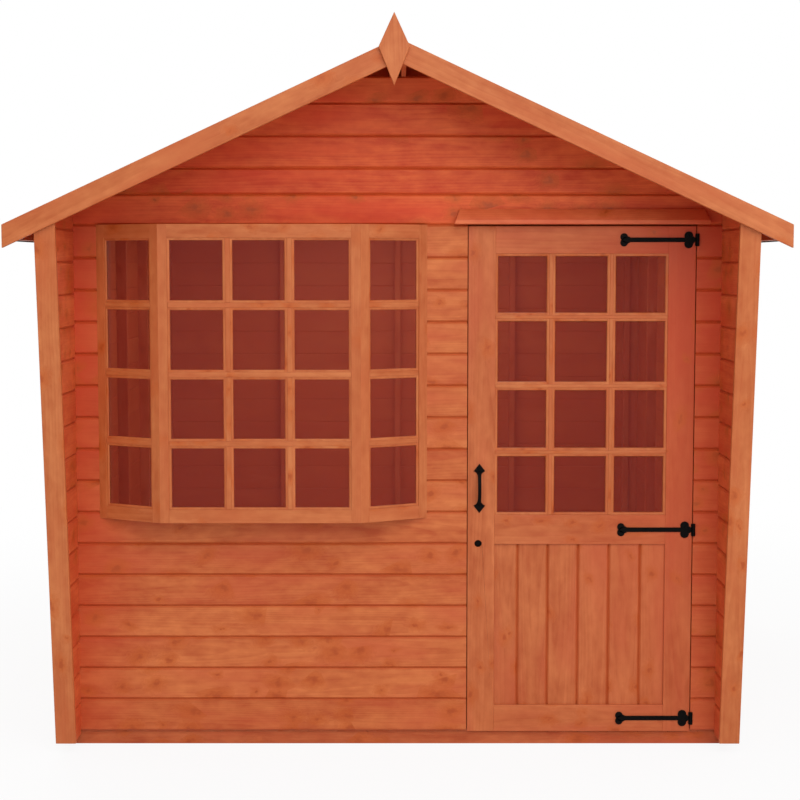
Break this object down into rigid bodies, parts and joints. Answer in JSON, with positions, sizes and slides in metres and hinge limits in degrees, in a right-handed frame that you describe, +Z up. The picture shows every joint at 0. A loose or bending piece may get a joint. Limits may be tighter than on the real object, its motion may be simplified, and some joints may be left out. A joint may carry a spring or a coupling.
{
  "type": "timber summerhouse",
  "caption": "Timber garden summerhouse with a pitched felt roof, bay window, hinged glazed door and side walls that run forward as tapered wings under the front gable",
  "frame": {"origin": "On the ground under the middle of the roof's length, on the centre line", "axes": "+Z is up, -Y is the front with the door and bay window, +X is the hinge side of the door"},
  "size_m": [2.65, 2.884, 2.5749],
  "materials": {
    "cladding": "red-brown stained softwood boards",
    "trim_timber": "red-brown stained planed softwood",
    "framing_timber": "red-brown stained sawn softwood",
    "floor_board": "softwood floor boards",
    "roof_board": "softwood roof boards",
    "roof_felt": "black mineral roofing felt",
    "window_glass": "clear glazing",
    "black_iron": "black antique ironmongery"
  },
  "bodies": {
    "house": {"floor_bearers": "framing_timber", "floor_deck": "floor_board", "left_wall": "cladding", "right_wall": "cladding", "rear_wall": "cladding", "front_wall_under_bay": "cladding", "front_wall_strips": "cladding", "front_wall_over_openings": "cladding", "front_gable": "cladding", "left_wall_studs": "framing_timber", "right_wall_studs": "framing_timber", "rear_wall_studs": "framing_timber", "front_wall_studs": "framing_timber", "door_jambs": "framing_timber", "left_wall_plates": "framing_timber", "right_wall_plates": "framing_timber", "rear_wall_plates": "framing_timber", "front_wall_plates": "framing_timber", "gable_rafters": "framing_timber", "wing_linings": "cladding", "wing_trims": "trim_timber", "rear_corner_trims": "trim_timber", "ridge_beam": "framing_timber", "purlins": "framing_timber", "roof_left": "roof_board", "roof_right": "roof_board", "felt_left": "roof_felt", "felt_right": "roof_felt", "eaves_battens": "framing_timber", "bargeboards_left": "trim_timber", "bargeboards_right": "trim_timber", "finials": "trim_timber", "bay_base": "trim_timber", "bay_head": "trim_timber", "bay_front_frame": "trim_timber", "bay_side_frames": "trim_timber", "bay_glass": "window_glass", "door_stops": "trim_timber", "drip_board": "trim_timber", "hinge_leaves": "black_iron"},
    "door": {"door_lock_stile": "trim_timber", "door_hinge_stile": "trim_timber", "door_rails": "trim_timber", "door_glass": "window_glass", "door_panel": "cladding", "hinge_straps": "black_iron", "door_handle": "black_iron"}
  },
  "joints": [
    {"name": "door_hinge", "type": "hinge", "parent": "house", "child": "door", "pos_m": [1.0655, -1.087, 0.9], "axis": [0, 0, 1], "range_deg": [0, 100]}
  ]
}
